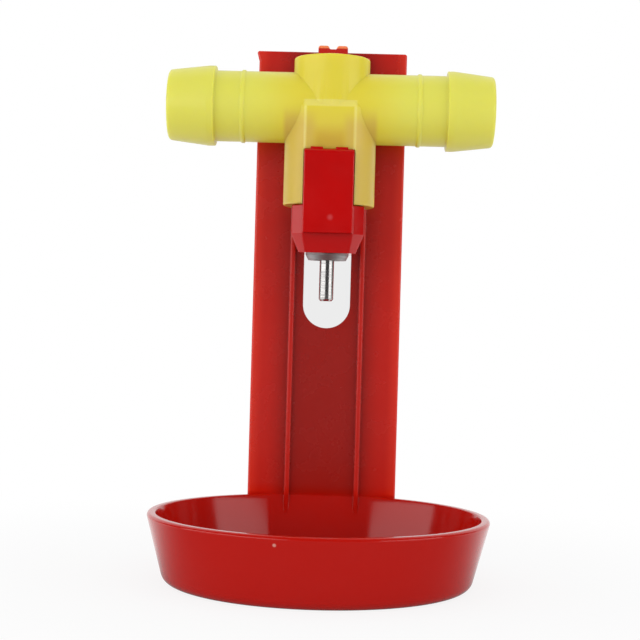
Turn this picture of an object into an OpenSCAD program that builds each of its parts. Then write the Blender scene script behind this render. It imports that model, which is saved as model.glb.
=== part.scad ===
// Poultry drinking cup: a drip cup with a tall back plate, hung on a hose tee with a nipple valve.
// Origin at the middle of the cup's underside, +Z up, the plate at +Y and the open side at -Y.

/* [Cup] */
// Outside diameter at the lip
cup_d = 54; // [48:1:60]
// Height of the lip above the table
cup_h = 10.9; // [9:0.1:14]
// Flare of the wall, in degrees from the vertical
cup_flare = 15; // [8:1:18]
// Thickness of the wall
cup_wall = 1.4; // [1:0.1:1.8]
// Thickness of the floor
cup_floor = 1.2; // [1:0.1:1.8]
// Radius round the outside of the floor
foot_round = 1.8; // [1.2:0.1:2.4]
// Radius inside, where the wall meets the floor
bowl_round = 1.5; // [0.8:0.1:2]
// Radius on the outer edge of the lip
lip_round = 0.5; // [0.3:0.1:0.6]
// Chamfer on the inner edge of the lip
lip_bevel = 0.35; // [0.2:0.05:0.5]

/* [Back plate] */
// Width of the plate
plate_w = 25.8; // [24:0.2:28]
// Thickness of the plate
plate_t = 1.6; // [1.2:0.1:2]
// How far inside the lip's circle the plate's front face stands
plate_inset = 2.4; // [2:0.1:3]
// Height of the plate above the tee's centre line
plate_above = 11; // [10.6:0.1:12]
// Step at the lip, where the cup's flat back starts in front of the plate
lip_step = 0.25; // [0.1:0.05:0.4]
// Radius on the plate's long front edges
plate_round = 0.5; // [0.3:0.1:0.8]
// Distance between the middles of the two ribs
rib_apart = 12.1; // [11.8:0.1:13]
// Width of a rib at the plate
rib_w = 1; // [0.7:0.1:1.2]
// Height of a rib in front of the plate
rib_h = 1; // [0.6:0.1:1.2]
// Draft of a rib, taken off each side at its crest
rib_draft = 0.1; // [0.05:0.05:0.2]
// Distance of the ribs' upper ends below the plate's top
rib_end = 1; // [0.5:0.1:2]
// Width of the slot behind the trigger
slot_w = 8.2; // [7:0.1:9]
// How far the slot reaches below the trigger's tip
slot_drop = 4.6; // [3:0.1:8]

/* [Top lug] */
// Width of the lug
lug_w = 5.1; // [4:0.1:7]
// Height of the lug above the plate
lug_rise = 0.5; // [0.3:0.1:1]
// Width of the notch between its two bumps
notch_w = 1.1; // [0.8:0.1:1.4]
// Depth of the notch
notch_deep = 0.6; // [0.4:0.1:0.8]
// Gap between the lug and the boss that it reaches over
lug_gap = 0.2; // [0.1:0.05:0.3]

/* [Hose tee] */
// Height of the tee's centre line above the table
tee_z = 77.3; // [74:0.5:90]
// Length over the two spigots
tee_len = 54.8; // [50:0.2:64]
// Outside diameter of the tube
tube_d = 11.9; // [11.4:0.1:12.4]
// Bore for the water
tube_bore = 8.5; // [7.5:0.1:9]
// Largest diameter of a barb
barb_d = 13.45; // [13:0.05:14]
// Diameter at the open end of a barb
barb_tip_d = 11.8; // [11.4:0.1:12.4]
// Length of a barb
barb_len = 7.9; // [7:0.1:9]
// Length of the straight land at the barb's shoulder
barb_land = 1.2; // [1:0.1:1.6]
// Diameter of the thin ring round the tube
ring_d = 12.4; // [12.2:0.1:12.8]
// Width of the ring
ring_w = 0.5; // [0.3:0.1:0.8]
// Distance of the ring from the barb's shoulder
ring_in = 4.7; // [4:0.1:6]
// Radius round the open ends
end_round = 0.6; // [0.4:0.1:0.8]
// Outside diameter of the top boss
boss_d = 12.8; // [12.4:0.1:13]
// Height of the boss above the centre line
boss_up = 8.3; // [7.9:0.1:8.6]
// Diameter of the raised cap on the boss
cap_d = 8.4; // [7.5:0.1:9]
// Height of the raised cap
cap_h = 0.4; // [0.3:0.1:0.6]
// Chamfer on the boss's and the cap's top edges
boss_edge = 0.2; // [0.1:0.05:0.25]
// Thickness of the boss's closed top
boss_roof = 2; // [1.5:0.1:2.4]
// Outside diameter of the socket
socket_d = 15.4; // [15:0.1:16]
// Inside diameter of the socket
socket_bore = 11.5; // [11:0.1:11.8]
// How far the socket reaches below the centre line
socket_down = 16.6; // [15.6:0.1:18]
// Height of the socket's shoulder above the centre line
socket_up = 0.6; // [0.3:0.1:1.2]
// Height of the bevel on that shoulder
socket_bevel = 1; // [0.6:0.1:1.2]
// Gap between the socket and the plate behind it
seat_gap = 0.3; // [0.2:0.05:0.5]

/* [Nipple housing] */
// Width of the skirt
skirt_w = 12.1; // [11.8:0.1:12.6]
// Straight height of the skirt
skirt_h = 4.8; // [4:0.1:6]
// Height of the taper below it
taper_h = 3.1; // [2.6:0.1:3.6]
// Width across the foot of the taper
foot_w = 9.5; // [9.2:0.1:10]
// Width of the front tab, the rear tab and the flats behind them
tab_w = 8.3; // [7.8:0.1:8.6]
// Height of the tabs above the socket's mouth
tab_up = 9; // [8:0.1:9.6]
// How far the tabs stand out of their flats
tab_proud = 1.3; // [1.2:0.1:1.6]
// Gap round a tab in its slot
tab_gap = 0.1; // [0.05:0.05:0.2]
// Chamfer on the tab's top edge
tab_bevel = 0.5; // [0.3:0.1:0.7]
// Height of the two nibs on the front tab
nib_h = 0.35; // [0.2:0.05:0.5]
// Gap between the plug and the socket's bore
plug_gap = 0.1; // [0.05:0.05:0.15]
// Height of the rear nose that goes through the plate's slot
nose_h = 2.6; // [2:0.1:3.4]
// Height of the nose's middle above the socket's mouth
nose_up = 3.2; // [2.8:0.1:4]
// How far the nose's lip rises behind the plate
nose_lip = 0.8; // [0.5:0.1:1.2]
// Thickness of that lip
nose_end = 1; // [0.8:0.1:1.4]
// Chamfer on the nose's rear edges
nose_bevel = 0.4; // [0.2:0.1:0.5]
// Gap round the nose in the slot and behind the plate
nose_gap = 0.2; // [0.1:0.05:0.3]
// Thickness of a tab, counted inwards from the plug's surface
tab_root = 1.6; // [1.2:0.1:1.8]
// Depth of the nibs, front to back
nib_t = 0.4; // [0.3:0.1:0.6]
// Width of the ledge that the sleeve is pressed against
sleeve_stop = 0.7; // [0.5:0.1:0.8]
// Chamfer on the plug's upper edge
plug_bevel = 0.3; // [0.2:0.1:0.4]

/* [Seal] */
// Thickness of the rubber ring
seal_d = 1.45; // [1.2:0.05:1.6]
// Height of the plug above the ring's groove
plug_end = 0.6; // [0.5:0.05:0.8]

/* [Valve] */
// Outside diameter of the steel sleeve
sleeve_d = 7.3; // [7.2:0.05:7.6]
// How far the sleeve shows below the housing
sleeve_out = 1.1; // [0.8:0.1:1.6]
// Width of the bevel on the sleeve's rim
sleeve_bevel = 0.45; // [0.3:0.05:0.5]
// Inside diameter of the chamber round the trigger's head
chamber_d = 5.4; // [5.3:0.05:5.6]
// Depth of the chamber above the trigger's pivot
chamber_h = 4.1; // [4:0.1:4.6]
// Diameter of the trigger's round head
head_d = 4.8; // [4.6:0.05:4.9]
// Height of the head above its pivot
head_up = 0.6; // [0.5:0.05:0.7]
// Diameter of the trigger's shank
pin_d = 2.45; // [2.2:0.05:2.6]
// How far the shank shows below the sleeve
pin_out = 6.9; // [5:0.1:9]
// Chamfer on the shank's tip
pin_bevel = 0.3; // [0.2:0.05:0.4]
// Height of the pivot above the sleeve's rim
pivot_up = 3.8; // [3.6:0.1:4.2]
// Tilt of the trigger to either side, in degrees
tilt = 10; // [6:1:11]
// Lift of the trigger and the upper valve
lift = 1; // [0.6:0.1:1.2]
// Diameter of the upper valve's shank
stem_d = 1.9; // [1.6:0.1:2.1]
// Diameter of the upper valve's head
stem_head_d = 4; // [3.8:0.1:4.4]
// Height of the upper seat
seat_h = 2.5; // [2.2:0.1:2.8]
// Bore of the upper seat
seat_bore = 2.7; // [2.5:0.05:2.9]
// Running gap between a valve and its seat
valve_gap = 0.05; // [0.04:0.01:0.08]
// Gap round a pressed piece
press_gap = 0.02; // [0.01:0.01:0.03]
// Height of the sleeve above the upper seat
sleeve_over = 0.8; // [0.6:0.1:1]
// Width of the ledge under the upper seat
seat_ledge = 0.3; // [0.2:0.05:0.4]
// Depth and width of the cone in the upper seat
cone_h = 0.8; // [0.6:0.1:0.9]
// Thickness of the upper valve's head
stem_head_h = 0.8; // [0.6:0.1:1]
// Chamfer on that head
stem_bevel = 0.3; // [0.2:0.1:0.4]
// Spare room in the trigger's hole at full tilt and lift
hole_gap = 0.2; // [0.1:0.05:0.25]
// Depth below the pivot where the trigger's hole meets its seat
hole_top = 1.2; // [1:0.1:1.4]

/* [Hidden] */
$fn = 72;
eps = 0.01;
far = 100;

red = [0.76, 0.06, 0.04];
yellow = [0.88, 0.84, 0.32];
black = [0.08, 0.08, 0.08];
steel = [0.72, 0.72, 0.72];

// The wall and the flat back of the cup lean outwards at the same slope
slope = tan(cup_flare);
// The rounded lip takes this much off the wall's line, so the line starts further out
lip_loss = lip_round * (slope + 1 / cos(cup_flare) - 1);
function wall_r(z) = cup_d / 2 + lip_loss - (cup_h - z) * slope;
function bowl_r(z) = wall_r(z) - cup_wall / cos(cup_flare);

// The plate stands behind the cup, and the tee in front of the plate
plate_y = cup_d / 2 - plate_inset;
tee_y = plate_y - seat_gap - socket_d / 2;
plate_top = tee_z + plate_above;
boss_top = tee_z + boss_up;

// Levels of the housing, counted from the socket's mouth
mouth_z = tee_z - socket_down;
skirt_top = mouth_z - tab_gap;
skirt_low = skirt_top - skirt_h;
foot_z = skirt_low - taper_h;
tab_top = mouth_z + tab_up;
flat_y = sqrt(pow(socket_d / 2, 2) - pow(tab_w / 2, 2));
shoulder_in = flat_y - tube_d / 2;
tab_out = flat_y + tab_proud;
groove_z = tab_top + 2 * tab_gap;
plug_top = groove_z + seal_d + plug_end;
bore_top = plug_top + plug_gap;
plug_r = socket_bore / 2 - plug_gap;
nose_z = mouth_z + nose_up;

// Levels of the valve, counted from the sleeve's rim
rim_z = foot_z - sleeve_out;
pivot_z = rim_z + pivot_up;
tip_z = rim_z - pin_out;
seat_z = pivot_z + chamber_h;
sleeve_top = seat_z + seat_h + sleeve_over;
seat_r = chamber_d / 2 + seat_ledge;
cone_z = seat_z + seat_h - cone_h;
stem_tip = pivot_z + head_up + valve_gap;

// The slot runs from below the trigger's tip to the rear nose, which its upper end rests on
slot_low = tip_z - slot_drop;
slot_top = nose_z + nose_h / 2 + nose_gap;

// Extrudes a profile drawn with Y to the right and Z up, centred on the plane X = 0
module across(width) {
    rotate([90, 0, 90])
        translate([0, 0, -width / 2])
            linear_extrude(height = width)
                children();
}

// Everything in front of the leaning plane that the flat back follows below the lip
module before_back(y) {
    across(4 * cup_d)
        polygon([[-far, -far], [y - (cup_h + far) * slope, -far], [y, cup_h], [y, 2 * far], [-far, 2 * far]]);
}

// Solid of the cup without its bowl
module cup_body() {
    foot_r = wall_r(foot_round) - foot_round / cos(cup_flare);
    lip_z = cup_h - lip_round;
    lip_r = wall_r(lip_z) - lip_round / cos(cup_flare);
    side = cos(cup_flare);
    rise = sin(cup_flare);
    rotate_extrude() {
        polygon([
            [0, 0],
            [foot_r, 0],
            [foot_r + foot_round * side, foot_round * (1 - rise)],
            [lip_r + lip_round * side, lip_z - lip_round * rise],
            [lip_r, cup_h],
            [0, cup_h]
        ]);
        translate([foot_r, foot_round]) circle(r = foot_round);
        translate([lip_r, lip_z]) circle(r = lip_round);
    }
}

// Hollow of the bowl, open at the top, with a chamfer at the lip
module bowl() {
    corner_z = cup_floor + bowl_round;
    corner_r = bowl_r(corner_z) - bowl_round / cos(cup_flare);
    bevel_z = cup_h - lip_bevel;
    rotate_extrude() {
        polygon([
            [0, cup_floor],
            [corner_r, cup_floor],
            [corner_r + bowl_round * cos(cup_flare), corner_z - bowl_round * sin(cup_flare)],
            [bowl_r(bevel_z), bevel_z],
            [bowl_r(cup_h) + lip_bevel, cup_h + eps],
            [0, cup_h + eps]
        ]);
        translate([corner_r, corner_z]) circle(r = bowl_round);
    }
}

// Section of the plate, seen from above with its front face on Y = 0
module plate_section() {
    half = plate_w / 2 - plate_round;
    translate([-plate_w / 2, plate_round]) square([plate_w, plate_t - plate_round]);
    translate([-half, 0]) square([2 * half, plate_t]);
    for (side = [-1, 1])
        translate([side * half, plate_round]) circle(r = plate_round);
}

// Section of one rib, a little narrower at its crest
module rib_section() {
    crest = rib_w / 2 - rib_draft;
    polygon([[-rib_w / 2, eps], [-crest, -rib_h], [crest, -rib_h], [rib_w / 2, eps]]);
}

// Slot through the plate, round at the bottom and square where it rests on the nose
module plate_slot() {
    bottom = slot_low + slot_w / 2;
    translate([0, plate_y - far / 2, bottom])
        rotate([-90, 0, 0]) cylinder(d = slot_w, h = far);
    translate([-slot_w / 2, plate_y - far / 2, bottom])
        cube([slot_w, far, slot_top - bottom]);
}

// Lug at the top of the plate, which reaches over the boss and has a notched crest
module top_lug() {
    low = boss_top + lug_gap;
    front = tee_y + cap_d / 2 + lug_gap;
    top = plate_top + lug_rise;
    bump = (lug_w - notch_w) / 2;
    translate([0, plate_y + plate_t, 0])
        rotate([90, 0, 0])
            linear_extrude(height = plate_y + plate_t - front) {
                translate([-lug_w / 2, low]) square([lug_w, top - notch_deep - low]);
                for (side = [-1, 1])
                    translate([side * (lug_w - bump) / 2, top - notch_deep])
                        intersection() {
                            translate([0, notch_deep - bump]) circle(r = bump);
                            translate([-bump / 2, -notch_deep]) square([bump, 3 * notch_deep]);
                        }
            }
}

module drip_cup() {
    rib_run = (rib_h - lip_step) / slope + 2 * lip_step;
    color(red) {
        difference() {
            intersection() {
                union() {
                    cup_body();
                    translate([0, plate_y, cup_h / 2])
                        linear_extrude(height = plate_top - cup_h / 2) plate_section();
                }
                before_back(plate_y + plate_t);
            }
            intersection() {
                bowl();
                before_back(plate_y - lip_step);
            }
            plate_slot();
        }
        for (side = [-1, 1])
            translate([side * rib_apart / 2, plate_y, cup_h - rib_run])
                linear_extrude(height = plate_top - rib_end - cup_h + rib_run) rib_section();
        top_lug();
    }
}

// Half of the tee's outline along its axis, from the middle to one open end
module spigot() {
    half = tee_len / 2;
    shoulder = half - barb_len;
    ring = shoulder - ring_in;
    side = end_round * (barb_d - barb_tip_d) / 2 / (barb_len - barb_land);
    rotate([0, 90, 0])
        rotate_extrude() {
            polygon([
                [0, 0],
                [tube_d / 2, 0],
                [tube_d / 2, ring - ring_w],
                [ring_d / 2, ring - ring_w / 2],
                [ring_d / 2, ring + ring_w / 2],
                [tube_d / 2, ring + ring_w],
                [tube_d / 2, shoulder],
                [barb_d / 2, shoulder],
                [barb_d / 2, shoulder + barb_land],
                [barb_tip_d / 2 + side, half - end_round],
                [barb_tip_d / 2 - end_round, half],
                [0, half]
            ]);
            translate([barb_tip_d / 2 - end_round, half - end_round])
                circle(r = end_round);
        }
}

// Closed boss on top of the tee, with its raised cap
module boss() {
    rotate_extrude()
        polygon([
            [0, 0],
            [boss_d / 2, 0],
            [boss_d / 2, boss_up - boss_edge],
            [boss_d / 2 - boss_edge, boss_up],
            [cap_d / 2, boss_up],
            [cap_d / 2, boss_up + cap_h - boss_edge],
            [cap_d / 2 - boss_edge, boss_up + cap_h],
            [0, boss_up + cap_h]
        ]);
}

// Half profile of the socket: straight, with a shoulder that slopes in to meet the tube's front
module socket_profile(reach) {
    polygon([
        [0, -socket_down],
        [reach, -socket_down],
        [reach, socket_up - socket_bevel],
        [reach - shoulder_in, socket_up],
        [0, socket_up]
    ]);
}

// Outside of the socket, with a flat in front and behind
module socket() {
    intersection() {
        rotate_extrude() socket_profile(socket_d / 2);
        across(2 * socket_d) {
            socket_profile(flat_y);
            mirror([1, 0]) socket_profile(flat_y);
        }
    }
}

module hose_tee() {
    color(yellow)
        translate([0, tee_y, tee_z])
            difference() {
                union() {
                    spigot();
                    mirror([1, 0, 0]) spigot();
                    boss();
                    socket();
                }
                rotate([0, 90, 0]) cylinder(d = tube_bore, h = tee_len + 2, center = true);
                cylinder(d = tube_bore, h = boss_up + cap_h - boss_roof);
                translate([0, 0, -socket_down - 1])
                    cylinder(d = socket_bore, h = bore_top - mouth_z + 1);
                translate([-tab_w / 2 - tab_gap, -socket_d, -socket_down - 1])
                    cube([tab_w + 2 * tab_gap, 2 * socket_d, tab_up + tab_gap + 1]);
                translate([0, 0, bore_top - tee_z - eps])
                    cylinder(d = tube_bore, h = tee_z - bore_top + eps);
            }
}

// One pair of the skirt's faces: straight above and tapered below, long enough to be cut by the others
module skirt_pair(width, foot) {
    across(4 * skirt_w)
        polygon([
            [-foot / 2, foot_z],
            [foot / 2, foot_z],
            [width / 2, skirt_low],
            [width / 2, skirt_top],
            [-width / 2, skirt_top],
            [-width / 2, skirt_low]
        ]);
}

// Eight-sided skirt: a square whose corners are cut to leave faces as wide as the tab
module skirt() {
    corner = (skirt_w + tab_w) / sqrt(2);
    corner_foot = corner - (skirt_w - foot_w);
    intersection() {
        skirt_pair(skirt_w, foot_w);
        rotate(90) skirt_pair(skirt_w, foot_w);
        rotate(45) skirt_pair(corner, corner_foot);
        rotate(-45) skirt_pair(corner, corner_foot);
    }
}

// Plug that fills the socket's bore, with the groove for its seal
module plug() {
    groove_r = plug_r - seal_d + plug_gap;
    rotate_extrude()
        polygon([
            [0, skirt_top - eps],
            [plug_r, skirt_top - eps],
            [plug_r, groove_z],
            [groove_r, groove_z],
            [groove_r, groove_z + seal_d + 2 * eps],
            [plug_r, groove_z + seal_d + 2 * eps],
            [plug_r, plug_top - plug_bevel],
            [plug_r - plug_bevel, plug_top],
            [0, plug_top]
        ]);
}

// Tab on the front side, from the skirt's taper to its chamfered top
module tab() {
    inner = plug_r - tab_root;
    across(tab_w)
        polygon([
            [-tab_out, skirt_low],
            [-inner, skirt_low],
            [-inner, tab_top],
            [-tab_out + tab_bevel, tab_top],
            [-tab_out, tab_top - tab_bevel]
        ]);
}

// Nose of the rear tab: through the plate's slot, with a lip that rises behind the plate
module nose() {
    root = tab_out - tab_bevel;
    back = plate_y - tee_y + plate_t + nose_gap;
    end = back + nose_end;
    low = nose_z - nose_h / 2;
    high = nose_z + nose_h / 2;
    across(slot_w - 2 * nose_gap)
        polygon([
            [root, low],
            [end - nose_bevel, low],
            [end, low + nose_bevel],
            [end, high + nose_lip - nose_bevel],
            [end - nose_bevel, high + nose_lip],
            [back, high + nose_lip],
            [back, high],
            [root, high]
        ]);
}

module nipple_housing() {
    nib_w = tab_w / 4;
    color(red)
        translate([0, tee_y, 0])
            difference() {
                union() {
                    skirt();
                    plug();
                    tab();
                    rotate(180) tab();
                    nose();
                    for (side = [-1, 1])
                        translate([side * tab_w / 4 - nib_w / 2, -tab_out + tab_bevel, tab_top - eps])
                            cube([nib_w, nib_t, nib_h + eps]);
                }
                translate([0, 0, foot_z - 1])
                    cylinder(d = sleeve_d, h = sleeve_top - foot_z + 1 + press_gap);
                translate([0, 0, foot_z])
                    cylinder(d = sleeve_d - 2 * sleeve_stop, h = groove_z - foot_z);
                translate([0, 0, foot_z])
                    cylinder(d = sleeve_d / 2, h = plug_top - foot_z + 1);
            }
}

module housing_seal() {
    color(black)
        translate([0, tee_y, groove_z + seal_d / 2 + eps])
            rotate_extrude()
                translate([socket_bore / 2 - seal_d / 2 - eps, 0])
                    circle(d = seal_d);
}

// Width of the trigger's hole at a depth below the pivot, wide enough for its tilt at full lift
function hole_r(depth) = pin_d / 2 / cos(tilt) + (depth + lift) * tan(tilt) + hole_gap;

module valve_body() {
    top_r = sleeve_d / 2 - press_gap;
    color(steel)
        translate([0, tee_y, 0])
            difference() {
                rotate_extrude()
                    polygon([
                        [0, rim_z],
                        [top_r - sleeve_bevel, rim_z],
                        [top_r, foot_z - sleeve_out / 4],
                        [top_r, sleeve_top],
                        [0, sleeve_top]
                    ]);
                translate([0, 0, rim_z - eps])
                    cylinder(r1 = hole_r(pivot_up), r2 = hole_r(hole_top), h = pivot_up - hole_top + eps);
                translate([0, 0, pivot_z]) sphere(d = head_d + 2 * valve_gap);
                translate([0, 0, pivot_z]) cylinder(d = chamber_d, h = chamber_h + 1);
                translate([0, 0, seat_z]) cylinder(r = seat_r, h = far);
            }
}

module upper_seat() {
    color(steel)
        translate([0, tee_y, 0])
            rotate_extrude()
                polygon([
                    [seat_bore / 2, seat_z],
                    [seat_r - press_gap, seat_z],
                    [seat_r - press_gap, seat_z + seat_h],
                    [seat_bore / 2 + cone_h, seat_z + seat_h],
                    [seat_bore / 2, cone_z]
                ]);
}

// Upper valve pin: a round tip that rests on the trigger and a cone that rests in the upper seat
module valve_stem() {
    shank = stem_d / 2;
    cone_low = cone_z + 2 * valve_gap - (seat_bore / 2 - shank);
    head_low = cone_low + stem_head_d / 2 - shank;
    color(steel)
        translate([0, tee_y, 0])
            rotate_extrude() {
                polygon([
                    [0, stem_tip + shank],
                    [shank, stem_tip + shank],
                    [shank, cone_low],
                    [stem_head_d / 2, head_low],
                    [stem_head_d / 2, head_low + stem_head_h - stem_bevel],
                    [stem_head_d / 2 - stem_bevel, head_low + stem_head_h],
                    [0, head_low + stem_head_h]
                ]);
                intersection() {
                    translate([0, stem_tip + shank]) circle(r = shank);
                    translate([0, stem_tip]) square([shank, stem_d]);
                }
            }
}

// Trigger pin: a shank with a round head that tilts in the sleeve's seat
module trigger_pin() {
    r = head_d / 2;
    shank = pin_d / 2;
    color(steel)
        translate([0, tee_y, 0])
            rotate_extrude() {
                intersection() {
                    translate([0, pivot_z]) circle(r = r);
                    translate([0, pivot_z - r]) square([r, r]);
                }
                polygon([
                    [0, tip_z],
                    [shank - pin_bevel, tip_z],
                    [shank, tip_z + pin_bevel],
                    [shank, pivot_z - shank],
                    [r, pivot_z],
                    [r, pivot_z + head_up / 2],
                    [r - head_up / 2, pivot_z + head_up],
                    [0, pivot_z + head_up]
                ]);
            }
}

drip_cup();
hose_tee();
nipple_housing();
housing_seal();
valve_body();
upper_seat();
valve_stem();
trigger_pin();
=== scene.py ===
import math

import bmesh
import bpy
from mathutils import Matrix, Vector


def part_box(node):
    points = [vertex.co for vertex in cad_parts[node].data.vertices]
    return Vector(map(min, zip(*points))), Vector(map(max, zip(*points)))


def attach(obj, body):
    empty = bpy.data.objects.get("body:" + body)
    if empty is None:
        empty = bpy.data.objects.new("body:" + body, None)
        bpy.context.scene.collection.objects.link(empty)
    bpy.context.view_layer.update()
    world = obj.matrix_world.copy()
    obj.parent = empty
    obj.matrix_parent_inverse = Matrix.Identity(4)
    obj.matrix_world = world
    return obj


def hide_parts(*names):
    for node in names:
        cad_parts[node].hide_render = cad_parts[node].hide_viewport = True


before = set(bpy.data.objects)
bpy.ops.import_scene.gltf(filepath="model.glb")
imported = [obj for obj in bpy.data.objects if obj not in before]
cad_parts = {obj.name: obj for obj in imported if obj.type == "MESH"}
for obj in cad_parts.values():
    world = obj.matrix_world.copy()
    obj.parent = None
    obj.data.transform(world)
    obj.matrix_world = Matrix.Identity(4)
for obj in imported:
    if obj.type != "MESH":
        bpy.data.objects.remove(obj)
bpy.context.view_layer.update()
mm = 0.001
scene = bpy.context.scene
scene.view_settings.view_transform = "Standard"

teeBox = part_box("hose_tee")
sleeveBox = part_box("valve_body")
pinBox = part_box("trigger_pin")
teeY = (teeBox[0].y + teeBox[1].y) / 2 / mm  # the tee's vertical axis, in mm
plateTop = 88.3
plateFront = 24.6
plateWide = 25.8
print("frame: CAD loaded, tee axis at y", round(teeY, 2), "mm")


# Small helpers

def addNode(tree, kind, inputs=None, **settings):
    node = tree.nodes.new(kind)
    for key, value in settings.items():
        setattr(node, key, value)
    for key, value in (inputs or {}).items():
        if isinstance(value, bpy.types.NodeSocket):
            tree.links.new(value, node.inputs[key])
        else:
            node.inputs[key].default_value = value
    return node


def calc(tree, operation, *values):
    node = addNode(tree, "ShaderNodeMath", dict(enumerate(values)), operation=operation)
    return node.outputs[0]


def inputId(tree, name):
    for item in tree.interface.items_tree:
        if item.item_type == "SOCKET" and item.in_out == "INPUT" and item.name == name:
            return item.identifier


def multiply(tree, *values):
    product = values[0]
    for value in values[1:]:
        product = calc(tree, "MULTIPLY", product, value)
    return product


def sockets(tree, inputs):
    # Gives a node group these inputs, after its geometry, and a geometry output
    face = tree.interface
    face.new_socket("Geometry", in_out="INPUT", socket_type="NodeSocketGeometry")
    for name, kind in inputs.items():
        face.new_socket(name, in_out="INPUT", socket_type="NodeSocket" + kind)
    face.new_socket("Geometry", in_out="OUTPUT", socket_type="NodeSocketGeometry")
    return tree.nodes.new("NodeGroupInput").outputs


def meshObject(name, mesh):
    obj = bpy.data.objects.new(name, mesh)
    scene.collection.objects.link(obj)
    return obj


def freeze(obj):
    # Turns the evaluated object into a plain mesh and takes its modifiers off
    deps = bpy.context.evaluated_depsgraph_get()
    mesh = bpy.data.meshes.new_from_object(obj.evaluated_get(deps))
    obj.modifiers.clear()
    obj.data = mesh
    return obj


def faceOut(obj):
    bm = bmesh.new()
    bm.from_mesh(obj.data)
    bmesh.ops.remove_doubles(bm, verts=bm.verts, dist=0.002 * mm)
    bmesh.ops.recalc_face_normals(bm, faces=bm.faces)
    bm.to_mesh(obj.data)
    bm.free()
    return obj


def roundPath(corners, closed=False, steps=6):
    # corners are (a, b, radius); a corner with a radius becomes an arc
    path = []
    count = len(corners)
    for i, (a, b, radius) in enumerate(corners):
        here = Vector((a, b))
        atEnd = not closed and i in (0, count - 1)
        if radius <= 0 or atEnd:
            path.append(here)
            continue
        before = (Vector(corners[i - 1][:2]) - here).normalized()
        after = (Vector(corners[(i + 1) % count][:2]) - here).normalized()
        half = before.angle(after) / 2
        centre = here + (before + after).normalized() * radius / math.sin(half)
        first = here + before * radius / math.tan(half) - centre
        last = here + after * radius / math.tan(half) - centre
        sweep = first.angle_signed(last)
        for k in range(steps + 1):
            path.append(centre + Matrix.Rotation(-sweep * k / steps, 2) @ first)
    return path


def splitLong(path, longest):
    # Adds points on stretches that are longer than this
    out = [path[0]]
    for before, after in zip(path, path[1:]):
        parts = max(1, math.ceil((after - before).length / longest))
        out += [before.lerp(after, (k + 1) / parts) for k in range(parts)]
    return out


# Geometry Nodes

def buildLatheTree():
    # Turns a profile about Z. A profile point holds radius, reach towards the flat side, height
    tree = bpy.data.node_groups.new("turnedProfile", "GeometryNodeTree")
    source = sockets(tree, {
        "Segments": "Int", "Corner Blend": "Float", "Front Flat": "Bool", "Material": "Material"})
    size = addNode(tree, "GeometryNodeAttributeDomainSize", {"Geometry": source["Geometry"]})
    columns = calc(tree, "ADD", source["Segments"], 1)
    grid = addNode(tree, "GeometryNodeMeshGrid", {
        "Vertices X": size.outputs["Point Count"], "Vertices Y": columns})
    index = addNode(tree, "GeometryNodeInputIndex").outputs[0]
    row = calc(tree, "FLOOR", calc(tree, "DIVIDE", index, columns))
    column = calc(tree, "MODULO", index, columns)
    angle = calc(tree, "DIVIDE", multiply(tree, column, math.tau), source["Segments"])
    place = addNode(tree, "GeometryNodeInputPosition").outputs[0]
    sample = addNode(tree, "GeometryNodeSampleIndex", {
        "Geometry": source["Geometry"], "Value": place, "Index": row}, data_type="FLOAT_VECTOR")
    point = addNode(tree, "ShaderNodeSeparateXYZ", {0: sample.outputs[0]}).outputs
    x = multiply(tree, point["X"], calc(tree, "COSINE", angle))
    y = multiply(tree, point["X"], calc(tree, "SINE", angle))
    back = calc(tree, "SMOOTH_MIN", y, point["Y"], source["Corner Blend"])
    front = calc(tree, "SMOOTH_MAX", back, multiply(tree, point["Y"], -1), source["Corner Blend"])
    chosen = addNode(tree, "GeometryNodeSwitch", {
        "Switch": source["Front Flat"], "False": back, "True": front}, input_type="FLOAT")
    turned = addNode(tree, "ShaderNodeCombineXYZ", {
        "X": x, "Y": chosen.outputs[0], "Z": point["Z"]})
    moved = addNode(tree, "GeometryNodeSetPosition", {
        "Geometry": grid.outputs["Mesh"], "Position": turned.outputs[0]})
    closed = addNode(tree, "GeometryNodeMergeByDistance", {
        "Geometry": moved.outputs[0], "Distance": 0.001 * mm})
    real = addNode(tree, "GeometryNodeRealizeInstances", {"Geometry": closed.outputs[0]})
    painted = addNode(tree, "GeometryNodeSetMaterial", {
        "Geometry": real.outputs[0], "Material": source["Material"]})
    addNode(tree, "NodeGroupOutput", {"Geometry": painted.outputs[0]})
    return tree


def buildRepeatTree():
    # Sets copies of the object's own mesh in a row along X, centred on it
    tree = bpy.data.node_groups.new("repeatAcross", "GeometryNodeTree")
    source = sockets(tree, {"Count": "Int", "Spacing": "Float", "Material": "Material"})
    gaps = calc(tree, "SUBTRACT", source["Count"], 1)
    half = multiply(tree, gaps, source["Spacing"], -0.5)
    start = addNode(tree, "ShaderNodeCombineXYZ", {"X": half})
    step = addNode(tree, "ShaderNodeCombineXYZ", {"X": source["Spacing"]})
    line = addNode(tree, "GeometryNodeMeshLine", {
        "Count": source["Count"], "Start Location": start.outputs[0], "Offset": step.outputs[0]})
    copies = addNode(tree, "GeometryNodeInstanceOnPoints", {
        "Points": line.outputs[0], "Instance": source["Geometry"]})
    real = addNode(tree, "GeometryNodeRealizeInstances", {"Geometry": copies.outputs[0]})
    painted = addNode(tree, "GeometryNodeSetMaterial", {
        "Geometry": real.outputs[0], "Material": source["Material"]})
    addNode(tree, "NodeGroupOutput", {"Geometry": painted.outputs[0]})
    return tree


latheTree = buildLatheTree()
repeatTree = buildRepeatTree()


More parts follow.
